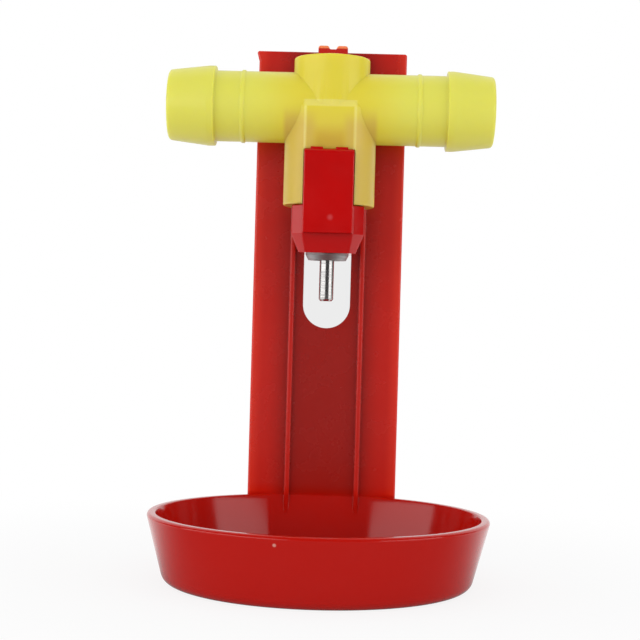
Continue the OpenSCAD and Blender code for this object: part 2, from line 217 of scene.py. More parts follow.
def lathe(name, path, material, reach=None, segments=192, blend=0.0, frontFlat=False, place=None):
    # path is a list of (radius, height) in mm; reach holds each point's distance to the flat
    reach = reach or [500] * len(path)
    verts = [(r * mm, y * mm, z * mm) for (r, z), y in zip(path, reach)]
    mesh = bpy.data.meshes.new(name)
    mesh.from_pydata(verts, [(i, i + 1) for i in range(len(verts) - 1)], [])
    obj = meshObject(name, mesh)
    mod = obj.modifiers.new("Turned", "NODES")
    mod.node_group = latheTree
    mod[inputId(latheTree, "Segments")] = segments
    mod[inputId(latheTree, "Corner Blend")] = blend * mm
    mod[inputId(latheTree, "Front Flat")] = frontFlat
    mod[inputId(latheTree, "Material")] = material
    freeze(obj)
    if place:
        obj.data.transform(place)
    return faceOut(obj)


def repeat(obj, count, spacing, material):
    mod = obj.modifiers.new("Repeated", "NODES")
    mod.node_group = repeatTree
    mod[inputId(repeatTree, "Count")] = count
    mod[inputId(repeatTree, "Spacing")] = spacing * mm
    mod[inputId(repeatTree, "Material")] = material
    return faceOut(freeze(obj))


# Mesh helpers

def prism(name, outline, low, high, axes="YZX", bevel=0.0, segments=3, material=None):
    # outline in mm on the first two axes, pushed along the third from low to high
    spots = ["XYZ".index(a) for a in axes]

    def corner(a, b, c):
        v = [0, 0, 0]
        v[spots[0]], v[spots[1]], v[spots[2]] = a * mm, b * mm, c * mm
        return v

    bm = bmesh.new()
    rings = [[bm.verts.new(corner(p[0], p[1], c)) for p in outline] for c in (low, high)]
    bm.faces.new(rings[0])
    bm.faces.new(rings[1])
    count = len(outline)
    for i in range(count):
        j = (i + 1) % count
        bm.faces.new((rings[0][i], rings[0][j], rings[1][j], rings[1][i]))
    bmesh.ops.recalc_face_normals(bm, faces=bm.faces)
    mesh = bpy.data.meshes.new(name)
    bm.to_mesh(mesh)
    bm.free()
    obj = meshObject(name, mesh)
    if material:
        mesh.materials.append(material)
    if bevel:
        mod = obj.modifiers.new("Edges", "BEVEL")
        mod.width = bevel * mm
        mod.segments = segments
        mod.limit_method = "ANGLE"
        mod.angle_limit = math.radians(20)
        freeze(obj)
    return obj


def loft(name, rings, material=None):
    # rings are lists of (x, y, z) in mm with as many points each; both ends are closed
    bm = bmesh.new()
    loops = [[bm.verts.new([c * mm for c in p]) for p in ring] for ring in rings]
    count = len(loops[0])
    for below, above in zip(loops, loops[1:]):
        for i in range(count):
            j = (i + 1) % count
            bm.faces.new((below[i], below[j], above[j], above[i]))
    bm.faces.new(loops[0])
    bm.faces.new(loops[-1])
    bmesh.ops.recalc_face_normals(bm, faces=bm.faces)
    mesh = bpy.data.meshes.new(name)
    bm.to_mesh(mesh)
    bm.free()
    if material:
        mesh.materials.append(material)
    return meshObject(name, mesh)


def combine(obj, tools, operation):
    for tool in tools:
        mod = obj.modifiers.new("Combine", "BOOLEAN")
        mod.operation = operation
        mod.solver = "MANIFOLD"
        mod.object = tool
    freeze(obj)
    for tool in tools:
        bpy.data.objects.remove(tool)
    return obj


def smooth(obj, angle=32):
    # Smooth shading that keeps flat faces flat beside their rounded edges
    bm = bmesh.new()
    bm.from_mesh(obj.data)
    bmesh.ops.remove_doubles(bm, verts=bm.verts, dist=0.001 * mm)
    bmesh.ops.dissolve_degenerate(bm, edges=bm.edges, dist=0.0005 * mm)
    bmesh.ops.triangulate(bm, faces=[f for f in bm.faces if len(f.verts) > 4])
    bm.to_mesh(obj.data)
    bm.free()
    obj.data.shade_smooth()
    obj.data.set_sharp_from_angle(angle=math.radians(angle))
    mod = obj.modifiers.new("Normals", "WEIGHTED_NORMAL")
    mod.keep_sharp = True
    mod.weight = 80
    return freeze(obj)


def dress(obj, body, nodes=()):
    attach(obj, body)
    if nodes:
        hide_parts(*nodes)
    print("piece:", obj.name, "on", body, "faces", len(obj.data.polygons))


# Materials

plasticIor = 1.49


def newMaterial(name):
    material = bpy.data.materials.new(name)
    material.use_nodes = True
    tree = material.node_tree
    shader = tree.nodes["Principled BSDF"]
    where = addNode(tree, "ShaderNodeTexCoord").outputs["Object"]
    return material, tree, shader, where


def noise(tree, where, scale, detail=3, stretch=None):
    if stretch:
        where = addNode(tree, "ShaderNodeMapping", {"Vector": where, "Scale": stretch}).outputs[0]
    return addNode(tree, "ShaderNodeTexNoise", {
        "Vector": where, "Scale": scale, "Detail": detail, "Roughness": 0.55}).outputs["Fac"]


def ramp(tree, value, low, high, fromValue=0.0, toValue=1.0, soft=True):
    return addNode(tree, "ShaderNodeMapRange", {
        "Value": value, "From Min": low, "From Max": high, "To Min": fromValue, "To Max": toValue},
        interpolation_type="SMOOTHSTEP" if soft else "LINEAR").outputs[0]


def fade(tree, value, span):
    # 0 at the span's first place and 1 at its second, in mm
    return ramp(tree, value, span[0] * mm, span[1] * mm)


def mixColour(tree, factor, first, second):
    node = addNode(tree, "ShaderNodeMix", data_type="RGBA")
    for key, value in ((0, factor), (6, first), (7, second)):
        if isinstance(value, bpy.types.NodeSocket):
            tree.links.new(value, node.inputs[key])
        else:
            node.inputs[key].default_value = value
    return node.outputs[2]


def wireShader(tree, shader, colour, rough, height, strength, distance, edge=None):
    # Joins colour, roughness and bump to the shader; edge is the width of a rounded edge in mm
    tree.links.new(colour, shader.inputs["Base Color"])
    tree.links.new(rough, shader.inputs["Roughness"])
    inputs = {"Height": height, "Strength": strength, "Distance": distance * mm}
    if edge:
        rounded = addNode(tree, "ShaderNodeBevel", {"Radius": edge * mm}, samples=6)
        inputs["Normal"] = rounded.outputs[0]
    bump = addNode(tree, "ShaderNodeBump", inputs)
    tree.links.new(bump.outputs[0], shader.inputs["Normal"])


def makeMilky(shader, weight, radius, scale):
    # Light goes into the plastic, as far as scale in mm
    for name, value in (("Weight", weight), ("Radius", radius), ("Scale", scale * mm)):
        shader.inputs["Subsurface " + name].default_value = value
    shader.inputs["IOR"].default_value = plasticIor


def spot(tree, where, centre, radius, soft=0.5):
    # 1 inside a ball at centre, 0 outside it, in mm
    away = addNode(tree, "ShaderNodeVectorMath", {
        0: where, 1: [c * mm for c in centre]}, operation="DISTANCE").outputs["Value"]
    return fade(tree, away, (radius, radius * (1 - soft)))


cupRed = {
    "colour": (0.56, 0.0085, 0.0014, 1),
    "deepColour": (0.52, 0.0070, 0.0011, 1),
    # Painted shade below the lip
    "shadedWallColour": (0.46, 0.0045, 0.0010, 1),
    "chalkColour": (0.62, 0.24, 0.20, 1),
    # Painted glow at the plate's side edges
    "paintedGlowColour": (0.68, 0.022, 0.007, 1),
    # Painted light on the lug's crown
    "litLugColour": (0.95, 0.26, 0.10, 1),
    "roughness": 0.26, "polish": 0.13, "polishSpan": (10.9, 13),
    # depth is the share of painted shade in the plate's middle
    "plateSpan": (plateFront - 0.4, plateFront - 0.1), "depth": 0.34, "paintedShadeSpan": (10.5, 5.5),
    "paintedGlowSpan": (10.6, plateWide / 2), "shadedWallSpan": (11.5, 10.7),
    "litLugSpan": (plateTop - 0.1, plateTop + 0.2),
    "scuff": (24.7, -8.0, 7.6), "scuffWide": 2.4,
    "speck": (-5.7, -26.1, 9.6), "speckWide": 0.35,
}
housingRed = {
    "colour": (0.50, 0.0018, 0.0018, 1),
    "deepColour": (0.46, 0.0014, 0.0014, 1),
    "chalkColour": (0.62, 0.12, 0.13, 1),
    "roughness": 0.13,
    "gateMark": (0.4, teeY - 7.8, 58.4), "gateWide": 0.7,
}


def addShare(tree, base, mark, depth):
    return calc(tree, "ADD", base, multiply(tree, mark, depth))


def finishRed(tree, shader, colour, rough, height):
    wireShader(tree, shader, colour, rough, height, 0.3, 0.1, edge=0.12)
    makeMilky(shader, 0.1, (1.0, 0.1, 0.06), 0.8)


def makeCupPlastic(name, look):
    material, tree, shader, where = newMaterial(name)
    part = addNode(tree, "ShaderNodeSeparateXYZ", {0: where}).outputs
    flow = noise(tree, where, 70, 3, (1, 1, 0.35))
    colour = mixColour(tree, ramp(tree, flow, 0.3, 0.7), look["colour"], look["deepColour"])
    # Painted light: the plate is painted darker in the middle and lighter at its side edges, for
    # light that comes through the plate from its edges
    across = calc(tree, "ABSOLUTE", part["X"])
    onPlate = fade(tree, part["Y"], look["plateSpan"])
    paintedMiddleShade = multiply(tree, fade(tree, across, look["paintedShadeSpan"]), look["depth"], onPlate)
    colour = mixColour(tree, paintedMiddleShade, colour, (0, 0, 0, 1))
    paintedEdgeGlow = multiply(tree, fade(tree, across, look["paintedGlowSpan"]), onPlate)
    colour = mixColour(tree, paintedEdgeGlow, colour, look["paintedGlowColour"])
    # Painted shade: below the lip, bowl included, the cup is painted a shade darker
    low = fade(tree, part["Z"], look["shadedWallSpan"])
    colour = mixColour(tree, low, colour, look["shadedWallColour"])
    # Painted light: the lug's crown above the plate's top is painted a lighter orange
    thin = fade(tree, part["Z"], look["litLugSpan"])
    colour = mixColour(tree, thin, colour, look["litLugColour"])
    scratch = ramp(tree, noise(tree, where, 900, 5, (1, 1, 0.4)), 0.56, 0.66)
    scuffed = multiply(tree, spot(tree, where, look["scuff"], look["scuffWide"], 0.9), scratch)
    speck = spot(tree, where, look["speck"], look["speckWide"])
    marks = calc(tree, "MAXIMUM", scuffed, speck)
    colour = mixColour(tree, marks, colour, look["chalkColour"])
    # The bowl is polished and the plate is a little duller
    bare = fade(tree, part["Z"], look["polishSpan"])
    rough = ramp(tree, bare, 0, 1, look["polish"], look["roughness"], False)
    cloud = ramp(tree, noise(tree, where, 200, 4), 0.3, 0.75, -0.01, 0.03)
    rough = addShare(tree, calc(tree, "ADD", rough, cloud), marks, 0.3)
    height = addShare(tree, multiply(tree, marks, 0.3), noise(tree, where, 120, 1), 0.02)
    finishRed(tree, shader, colour, rough, height)
    return material


def makeHousingPlastic(name, look):
    material, tree, shader, where = newMaterial(name)
    flow = noise(tree, where, 140, 3)
    colour = mixColour(tree, ramp(tree, flow, 0.3, 0.7), look["colour"], look["deepColour"])
    gate = spot(tree, where, look["gateMark"], look["gateWide"], 0.9)
    colour = mixColour(tree, multiply(tree, gate, 0.4), colour, look["chalkColour"])
    rough = ramp(tree, noise(tree, where, 300, 4), 0.3, 0.75, look["roughness"] - 0.02,
                 look["roughness"] + 0.03)
    height = addShare(tree, multiply(tree, noise(tree, where, 200, 1), 0.02), gate, -0.8)
    finishRed(tree, shader, colour, rough, height)
    return material


yellowLook = {
    "spigot": (0.74, 0.72, 0.105, 1),
    "centre": (0.75, 0.64, 0.045, 1),
    "cream": (0.64, 0.45, 0.08, 1),
    "amber": (0.58, 0.35, 0.025, 1),
    # The palest colour is the painted highlight on the shoulder's bevel and the flat's edges
    "pale": (0.84, 0.78, 0.28, 1),
    "roughness": 0.36, "highlightShare": 0.4,
    "centreSpan": (15, 4), "socketSpan": (77.5, 73), "socketSide": (8.2, 7.2),
    "thinSide": (3.4, 1.6), "plugSpan": (74.5, 71.2), "frontSpan": (teeY - 5.6, teeY - 5.85),
    "bevelLow": (76.7, 77.0), "bevelHigh": (78.1, 77.9), "bevelSide": (4.6, 4.2),
    "edgeIn": (3.75, 4.05), "edgeOut": (4.5, 4.2), "edgeTop": (77.4, 76.6),
}


def makeYellowPlastic(name, look):
    material, tree, shader, where = newMaterial(name)
    part = addNode(tree, "ShaderNodeSeparateXYZ", {0: where}).outputs
    side = calc(tree, "ABSOLUTE", part["X"])
    cloud = noise(tree, where, 130, 3)
    drift = multiply(tree, calc(tree, "SUBTRACT", cloud, 0.5), 3 * mm)
    inner = fade(tree, calc(tree, "ADD", side, drift), look["centreSpan"])
    colour = mixColour(tree, inner, look["spigot"], look["centre"])
    # The socket's wall is paler where it is thick, and the red plug shows through where it is thin
    low = fade(tree, calc(tree, "ADD", part["Z"], drift), look["socketSpan"])
    socket = multiply(tree, low, fade(tree, side, look["socketSide"]))
    thin = fade(tree, side, look["thinSide"])
    thick = ramp(tree, thin, 0, 1, 0.9, 0.3, False)
    colour = mixColour(tree, multiply(tree, socket, thick), colour, look["cream"])
    redShows = multiply(tree, thin, fade(tree, part["Z"], look["plugSpan"]), 0.8)
    colour = mixColour(tree, redShows, colour, look["amber"])
    # Painted highlights: the shoulder's bevel and the flat's upright edges are painted palest
    front = fade(tree, part["Y"], look["frontSpan"])
    shoulder = multiply(tree, fade(tree, part["Z"], look["bevelLow"]),
                        fade(tree, part["Z"], look["bevelHigh"]), front,
                        fade(tree, side, look["bevelSide"]))
    highlightLine = multiply(tree, fade(tree, side, look["edgeIn"]), fade(tree, side, look["edgeOut"]),
                        front, fade(tree, part["Z"], look["edgeTop"]))
    pale = multiply(tree, calc(tree, "MAXIMUM", shoulder, highlightLine), look["highlightShare"])
    colour = mixColour(tree, pale, colour, look["pale"])
    rough = ramp(tree, noise(tree, where, 300, 4), 0.3, 0.7, look["roughness"] - 0.04,
                 look["roughness"] + 0.06)
    wireShader(tree, shader, colour, rough, noise(tree, where, 260, 3), 0.12, 0.12, edge=0.22)
    makeMilky(shader, 0.55, (1.0, 0.85, 0.25), 1.6)
    return material


pinSteel = {
    "colour": (0.66, 0.65, 0.63, 1),
    "darkColour": (0.5, 0.49, 0.49, 1),
    "roughness": 0.16,
}
sleeveSteel = {
    "colour": (0.52, 0.51, 0.51, 1),
    "darkColour": (0.42, 0.41, 0.41, 1),
    "roughness": 0.5,
}


def makeSteel(name, look):
    material, tree, shader, where = newMaterial(name)
    rings = noise(tree, where, 500, 3, (0.6, 0.6, 14))
    colour = mixColour(tree, ramp(tree, rings, 0.35, 0.7), look["colour"], look["darkColour"])
    rough = ramp(tree, rings, 0.3, 0.7, look["roughness"], look["roughness"] + 0.12)
    wireShader(tree, shader, colour, rough, rings, 0.25, 0.02)
    shader.inputs["Metallic"].default_value = 1.0
    return material


def makeRubber(name):
    material, tree, shader, where = newMaterial(name)
    grain = noise(tree, where, 2200, 4)
    colour = mixColour(tree, grain, (0.012, 0.012, 0.012, 1), (0.03, 0.03, 0.03, 1))
    wireShader(tree, shader, colour, ramp(tree, grain, 0.3, 0.7, 0.55, 0.7), grain, 0.3, 0.05)
    return material


cupPlastic = makeCupPlastic("cupPlastic", cupRed)
housingPlastic = makeHousingPlastic("housingPlastic", housingRed)
yellowPlastic = makeYellowPlastic("yellowPlastic", yellowLook)
turnedSteel = makeSteel("turnedSteel", pinSteel)
dullSteel = makeSteel("dullSteel", sleeveSteel)
sealRubber = makeRubber("sealRubber")
print("materials: made")


# Sizes in mm

tee = {
    "z": 77.3, "length": 54.8, "tubeRadius": 5.95, "boreRadius": 4.25,
    "barbRadius": 6.725, "tipRadius": 5.9, "barbLength": 7.9, "land": 1.2,
    "ringRadius": 6.15, "ringWide": 0.42, "ringIn": 4.7, "endRound": 0.6,
    "bossRadius": 6.4, "bossUp": 8.3, "capRadius": 4.2, "capHigh": 0.4, "roof": 2.0,
    "socketRadius": 7.7, "socketBore": 5.75, "socketDown": 16.6, "socketUp": 0.6,
    "shoulder": 1.0, "tabGap": 0.1, "tabUp": 9.0, "boreTop": 72.05,
    "mouthFlare": 0.3, "leadIn": 0.4, "wellLow": -8, "segments": 160, "boreSegments": 128,
}
tabWide = 8.3
flatY = math.sqrt(tee["socketRadius"] ** 2 - (tabWide / 2) ** 2)


cup = {
    "height": 10.9, "lipRadius": 27.0, "flare": 15.0, "wall": 1.4, "floor": 1.2,
    "footRound": 1.8, "bowlRound": 1.5, "lipRound": 0.5, "lipBevel": 0.3,
    "segments": 384, "wallStep": 0.7, "cornerBlend": 0.5,
}
plate = {
    "width": plateWide, "thick": 1.6, "front": plateFront, "top": plateTop, "edge": 0.45,
    "burr": (0.45, 1.8), "burrTip": 0.1,
    "lipStep": 0.25, "ribApart": 12.1, "ribWide": 1.0, "ribHigh": 1.0, "ribDraft": 0.1,
    "ribSink": 0.3, "ribEdge": 0.22, "ribEnd": 1.0,
    "slotWide": 8.2, "slotLow": 40.1, "slotTop": 65.4,
    "lugWide": 5.1, "lugRise": 0.5, "lugGap": 0.2, "lugRound": 0.45, "lugEdge": 0.12,
    "notchWide": 1.1, "notchDeep": 0.6, "notchSlope": 0.25,
}
slope = math.tan(math.radians(cup["flare"]))


def onAxis(z=0.0):
    # The place of a point on the tee's upright axis
    return Matrix.Translation((0, teeY * mm, z * mm))


def paint(obj, material):
    obj.data.materials.clear()
    obj.data.materials.append(material)


# The cup with its back plate

def wallRadius(z):
    lipLoss = cup["lipRound"] * (slope + 1 / math.cos(math.radians(cup["flare"])) - 1)
    return cup["lipRadius"] + lipLoss - (cup["height"] - z) * slope


def bowlRadius(z):
    return wallRadius(z) - cup["wall"] / math.cos(math.radians(cup["flare"]))


def leanBack(y, z):
    # Where the flat back of the cup stands at a height
    return y - (cup["height"] - z) * slope


def makeBowl():
    top = cup["height"]
    outer = [(0, 0, 0), (wallRadius(0), 0, cup["footRound"]),
             (wallRadius(top), top, cup["lipRound"]), (bowlRadius(top), top, 0)]
    inner = [(wallRadius(top), top, 0), (bowlRadius(top), top, cup["lipBevel"]),
             (bowlRadius(cup["floor"]), cup["floor"], cup["bowlRound"]), (0, cup["floor"], 0)]
    outerPath = splitLong(roundPath(outer, steps=10)[:-1], cup["wallStep"])
    innerPath = splitLong(roundPath(inner, steps=8)[1:], cup["wallStep"])
    # The flat back stands at the plate's rear face outside, and just before its front face inside
    rear = plate["front"] + plate["thick"]
    reach = [leanBack(rear, p.y) for p in outerPath]
    reach += [leanBack(plate["front"] - plate["lipStep"], p.y) for p in innerPath]
    return lathe("dripCup", outerPath + innerPath, cupPlastic, reach, cup["segments"],
                 cup["cornerBlend"])


def makePlate():
    half = plate["width"] / 2
    rear = plate["front"] + plate["thick"]
    low = cup["height"] / 2
    top = plate["top"]
    burrOut, burrDown = plate["burr"]
    outline = [(-half, low), (half, low), (half, top), (-half, top),
               (-half - burrOut, top - plate["burrTip"]), (-half, top - burrDown)]
    board = prism("plateBoard", outline, plate["front"], rear, "XZY", plate["edge"], 4, cupPlastic)
    # What stands behind the cup's leaning back is cut away, well past the plate's ends
    stop = rear + 0.005
    deep, tall, away, side = 20, 200, 80, 60
    lean = [(stop - (cup["height"] + deep) * slope, -deep), (stop, cup["height"]),
            (stop, tall), (away, tall), (away, -deep)]
    cutter = prism("plateLean", lean, -side, side)
    combine(board, [cutter], "DIFFERENCE")
    radius = plate["slotWide"] / 2
    bottom = plate["slotLow"] + radius
    arc = [(radius * math.cos(a), bottom + radius * math.sin(a))
           for a in [math.pi + math.pi * k / 32 for k in range(33)]]
    slotLine = arc + [(radius, plate["slotTop"]), (-radius, plate["slotTop"])]
    slotTool = prism("plateSlot", slotLine, plate["front"] - 5, rear + 5, "XZY")
    return board, slotTool


def makeRibs():
    run = (plate["ribHigh"] - plate["lipStep"]) / slope + 2 * plate["lipStep"]
    foot = plate["ribWide"] / 2
    crest = foot - plate["ribDraft"]
    front = plate["front"]
    crestY = front - plate["ribHigh"]
    footY = front + plate["ribSink"]
    section = [(-foot, footY), (-crest, crestY), (crest, crestY), (foot, footY)]
    low = cup["height"] - run
    rib = prism("plateRib", section, low, plate["top"] - plate["ribEnd"], "XYZ", plate["ribEdge"])
    return repeat(rib, 2, plate["ribApart"], cupPlastic)


def makeLug():
    low = tee["z"] + tee["bossUp"] + plate["lugGap"]
    front = teeY + tee["capRadius"] + plate["lugGap"]
    rear = plate["front"] + plate["thick"]
    top = plate["top"] + plate["lugRise"]
    half = plate["lugWide"] / 2
    notch = plate["notchWide"] / 2
    dip = top - plate["notchDeep"]
    turn = plate["lugRound"]
    crown = roundPath([(notch, dip, 0), (notch + plate["notchSlope"], top, turn),
                       (half, top, turn), (half, dip, 0)], steps=5)
    right = [(p.x, p.y) for p in crown]
    left = [(-a, b) for a, b in reversed(right)]
    outline = [(-half, low)] + left + right + [(half, low)]
    return prism("topLug", outline, front, rear - 0.01, "XZY", plate["lugEdge"], 2, cupPlastic)


def buildCup():
    body = makeBowl()
    board, slotTool = makePlate()
    combine(body, [board], "UNION")
    combine(body, [slotTool], "DIFFERENCE")
    combine(body, [makeRibs(), makeLug()], "UNION")
    smooth(body)
    paint(body, cupPlastic)
    return body


dripCup = buildCup()
dress(dripCup, "stand", ["drip_cup"])


# The hose tee

def makeBarrel():
    half = tee["length"] / 2
    shoulder = half - tee["barbLength"]
    ring = shoulder - tee["ringIn"]
    r = tee["tubeRadius"]
    side = [(0, half, 0), (tee["tipRadius"], half, tee["endRound"]),
            (tee["barbRadius"], shoulder + tee["land"], 1.5), (tee["barbRadius"], shoulder, 0.12),
            (r, shoulder, 0.25), (r, ring + tee["ringWide"], 0.15),
            (tee["ringRadius"], ring + tee["ringWide"] / 2, 0.12),
            (tee["ringRadius"], ring - tee["ringWide"] / 2, 0.12),
            (r, ring - tee["ringWide"], 0.15)]
    other = [(a, -b, c) for a, b, c in reversed(side)]
    path = splitLong(roundPath(side + other, steps=5), 2.0)
    turn = onAxis(tee["z"]) @ Matrix.Rotation(math.pi / 2, 4, "Y")
    return lathe("teeBarrel", path, yellowPlastic, segments=tee["segments"], place=turn)


def makeBoss():
    r = tee["bossRadius"]
    up = tee["bossUp"]
    cap = tee["capRadius"]
    top = up + tee["capHigh"]
    path = roundPath([(0, -3, 0), (r, -3, 0), (r, up, 0.25), (cap, up, 0.15), (cap, top, 0.18),
                      (0, top, 0)])
    return lathe("teeBoss", path, yellowPlastic, segments=tee["segments"], place=onAxis(tee["z"]))


def makeSocket():
    r = tee["socketRadius"]
    up = tee["socketUp"]
    down = -tee["socketDown"]
    # The shoulder slopes in all round until it meets the tube's front
    inwards = flatY - tee["tubeRadius"]
    path = roundPath([(0, down, 0), (r, down, 0.25), (r, up - tee["shoulder"], 0.3),
                      (r - inwards, up, 0.2), (0, up, 0)])
    path = splitLong(path, 0.8)
    reach = [flatY - inwards * max(0, p.y - up + tee["shoulder"]) / tee["shoulder"] for p in path]
    return lathe("teeSocket", path, yellowPlastic, reach, 2 * tee["segments"], 0.2, True,
                 onAxis(tee["z"]))


def teeCutters():
    place = onAxis(tee["z"])
    count = tee["boreSegments"]
    half = tee["length"] / 2
    bore = tee["boreRadius"]
    flare = tee["mouthFlare"]
    # A small flare rounds the mouth of each bore
    run = roundPath([(0, -half - 1, 0), (bore + flare, -half - 1, 0),
                     (bore + flare, -half - 0.01, 0), (bore, -half + flare, 0),
                     (bore, half - flare, 0), (bore + flare, half + 0.01, 0),
                     (bore + flare, half + 1, 0), (0, half + 1, 0)])
    water = lathe("waterBore", run, yellowPlastic, segments=count,
                  place=place @ Matrix.Rotation(math.pi / 2, 4, "Y"))
    top = tee["bossUp"] + tee["capHigh"] - tee["roof"]
    low = tee["wellLow"]
    up = roundPath([(0, low, 0), (bore - 0.01, low, 0), (bore - 0.01, top, 0.5), (0, top, 0)])
    well = lathe("bossBore", up, yellowPlastic, segments=count, place=place)
    mouth = -tee["socketDown"]
    end = tee["boreTop"] - tee["z"]
    wide = tee["socketBore"]
    down = roundPath([(0, mouth - 1, 0), (wide + flare, mouth - 1, 0), (wide + flare, mouth, 0),
                      (wide, mouth + tee["leadIn"], 0), (wide, end, 0.3), (0, end, 0)])
    plugWay = lathe("socketBore", down, yellowPlastic, segments=count, place=place)
    gap = tabWide / 2 + tee["tabGap"]
    floorZ = tee["z"] - tee["socketDown"]
    roofZ = floorZ + tee["tabUp"] + tee["tabGap"]
    outline = [(-gap, floorZ - 3), (gap, floorZ - 3), (gap, roofZ), (-gap, roofZ)]
    tabWay = prism("tabWay", outline, teeY - 15, teeY + 15, "XZY", 0.25, 3)
    return [water, well, plugWay, tabWay]


def buildTee():
    body = makeSocket()
    combine(body, [makeBarrel()], "UNION")
    combine(body, [makeBoss()], "UNION")
    for tool in teeCutters():
        combine(body, [tool], "DIFFERENCE")
    body.name = "hoseTee"
    smooth(body)
    paint(body, yellowPlastic)
    return body


hoseTee = buildTee()
dress(hoseTee, "stand", ["hose_tee"])


# The nipple housing

housing = {
    "skirtWide": 12.1, "footWide": 9.5, "skirtTop": 60.6, "skirtLow": 55.8, "foot": 52.7,
    "cornerRound": 0.45, "edgeRound": 0.22, "tabProud": 1.3, "tabTop": 69.7, "tabBevel": 0.5,
    "nibHigh": 0.35, "nibDeep": 0.4, "grooveZ": 69.9, "plugTop": 71.95, "sealThick": 1.45,
    "noseHigh": 2.6, "noseZ": 63.9, "noseWide": 7.8, "noseLip": 0.8, "noseGap": 0.2,
    "noseLipLong": 1.0, "plugGap": 0.1, "tabInto": 1.7, "sleeveRadius": 3.65, "sleeveStep": 0.7,
}
tabOut = flatY + housing["tabProud"]


def octagon(wide, cut, z):
    # An eight-sided ring about the housing's axis, with rounded corners
    half = wide / 2
    short = cut / math.sqrt(2) - half
    corners = [(half, short), (short, half), (-short, half), (-half, short),
               (-half, -short), (-short, -half), (short, -half), (half, -short)]
    path = roundPath([(a, b, housing["cornerRound"]) for a, b in corners], closed=True, steps=4)
    return [(p.x, p.y + teeY, z) for p in path]


def makeSkirt():
    wide = housing["skirtWide"]
    cut = (wide + tabWide) / math.sqrt(2)
    profile = roundPath([(0, housing["foot"], 0), (housing["footWide"] / 2, housing["foot"], 0.15),
                         (wide / 2, housing["skirtLow"], 0.35),
                         (wide / 2, housing["skirtTop"], housing["edgeRound"]),
                         (0, housing["skirtTop"], 0)], steps=4)[1:-1]
    rings = [octagon(2 * p.x, cut - (wide - 2 * p.x), p.y) for p in profile]
    return loft("skirt", rings, housingPlastic)


def makeTab(sign):
    inner = tee["socketBore"] - housing["tabInto"]
    top = housing["tabTop"]
    low = housing["skirtLow"] + 0.05
    outline = [(tabOut, low), (inner, low), (inner, top),
               (tabOut - housing["tabBevel"], top), (tabOut, top - housing["tabBevel"])]
    placed = [(teeY + sign * a, b) for a, b in outline]
    return prism("tab", placed, -tabWide / 2, tabWide / 2, "YZX", 0.2, 3, housingPlastic)


def makeNibs():
    front = teeY - tabOut + housing["tabBevel"]
    half = tabWide / 8
    low = housing["tabTop"] - 0.2
    top = housing["tabTop"] + housing["nibHigh"]
    outline = [(-half, low), (half, low), (half, top), (-half, top)]
    nib = prism("nib", outline, front, front + housing["nibDeep"], "XZY", 0.1, 2)
    return repeat(nib, 2, tabWide / 2, housingPlastic)


def makeNose():
    high = housing["noseHigh"] / 2
    back = plate["front"] + plate["thick"] + housing["noseGap"]
    end = back + housing["noseLipLong"]
    root = teeY + tabOut - 0.5
    z = housing["noseZ"]
    lip = housing["noseLip"]
    half = housing["noseWide"] / 2
    outline = [(root, z - high), (end, z - high), (end, z + high + lip),
               (back, z + high + lip), (back, z + high), (root, z + high)]
    return prism("nose", outline, -half, half, "YZX", 0.2, 3, housingPlastic)


def makePlug():
    r = tee["socketBore"] - housing["plugGap"]
    groove = r - housing["sealThick"] + housing["plugGap"]
    z = housing["grooveZ"]
    thick = housing["sealThick"] + 0.02
    low = housing["skirtTop"] - 1
    path = roundPath([(0, low, 0), (r, low, 0), (r, z, 0.08),
                      (groove, z, 0), (groove, z + thick, 0), (r, z + thick, 0.08),
                      (r, housing["plugTop"], 0.3), (0, housing["plugTop"], 0)])
    return lathe("plug", path, housingPlastic, segments=128, place=onAxis())


def makeSleeveWay():
    r = housing["sleeveRadius"]
    top = sleeveBox[1].z / mm + 0.02
    low = housing["foot"] - 1
    inner = r - housing["sleeveStep"]
    roof = housing["grooveZ"]
    end = housing["plugTop"] + 1
    path = [Vector(p) for p in ((0, low), (r, low), (r, top), (inner, top), (inner, roof),
                                (r / 2, roof), (r / 2, end), (0, end))]
    return lathe("sleeveWay", path, housingPlastic, segments=96, place=onAxis())


def buildHousing():
    body = makeSkirt()
    for tool in (makePlug(), makeTab(-1), makeTab(1), makeNose(), makeNibs()):
        combine(body, [tool], "UNION")
    combine(body, [makeSleeveWay()], "DIFFERENCE")
    body.name = "nippleHousing"
    smooth(body)
    paint(body, housingPlastic)
    return body


nippleHousing = buildHousing()
dress(nippleHousing, "stand", ["nipple_housing"])


# Turned steel and rubber

pin = {
    "shankWide": 2.45, "pivot": 55.4, "tipIn": 0.28, "tipUp": 0.3, "headEdge": 0.3,
    "headRound": 0.05, "headSteps": 10, "segments": 96,
}


def buildPin():
    low = pinBox[0].z / mm
    top = pinBox[1].z / mm
    shank = pin["shankWide"] / 2
    head = (pinBox[1].x - pinBox[0].x) / 2 / mm
    under = math.acos(shank / head)
    steps = pin["headSteps"]
    # The head is a ball about the hinge's place, from the shank up to its widest
    bowl = [(head * math.cos(a), pin["pivot"] - head * math.sin(a), 0)
            for a in [under * (1 - k / steps) for k in range(steps + 1)]]
    edge = pin["headEdge"]
    turn = pin["headRound"]
    path = roundPath([(0, low, 0), (shank - pin["tipIn"], low, 0.08),
                      (shank, low + pin["tipUp"], 0.1), *bowl,
                      (head, top - edge, turn), (head - edge, top, turn), (0, top, 0)])
    obj = lathe("triggerPin", splitLong(path, 1.5), turnedSteel, segments=pin["segments"],
                place=onAxis())
    return smooth(obj, 40)


triggerPin = buildPin()
dress(triggerPin, "trigger", ["trigger_pin"])

for nodeName, material in (("valve_body", dullSteel), ("upper_seat", turnedSteel),
                           ("valve_stem", turnedSteel), ("housing_seal", sealRubber)):
    paint(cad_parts[nodeName], material)
print("steel and rubber: dressed")


# Floor, light and camera

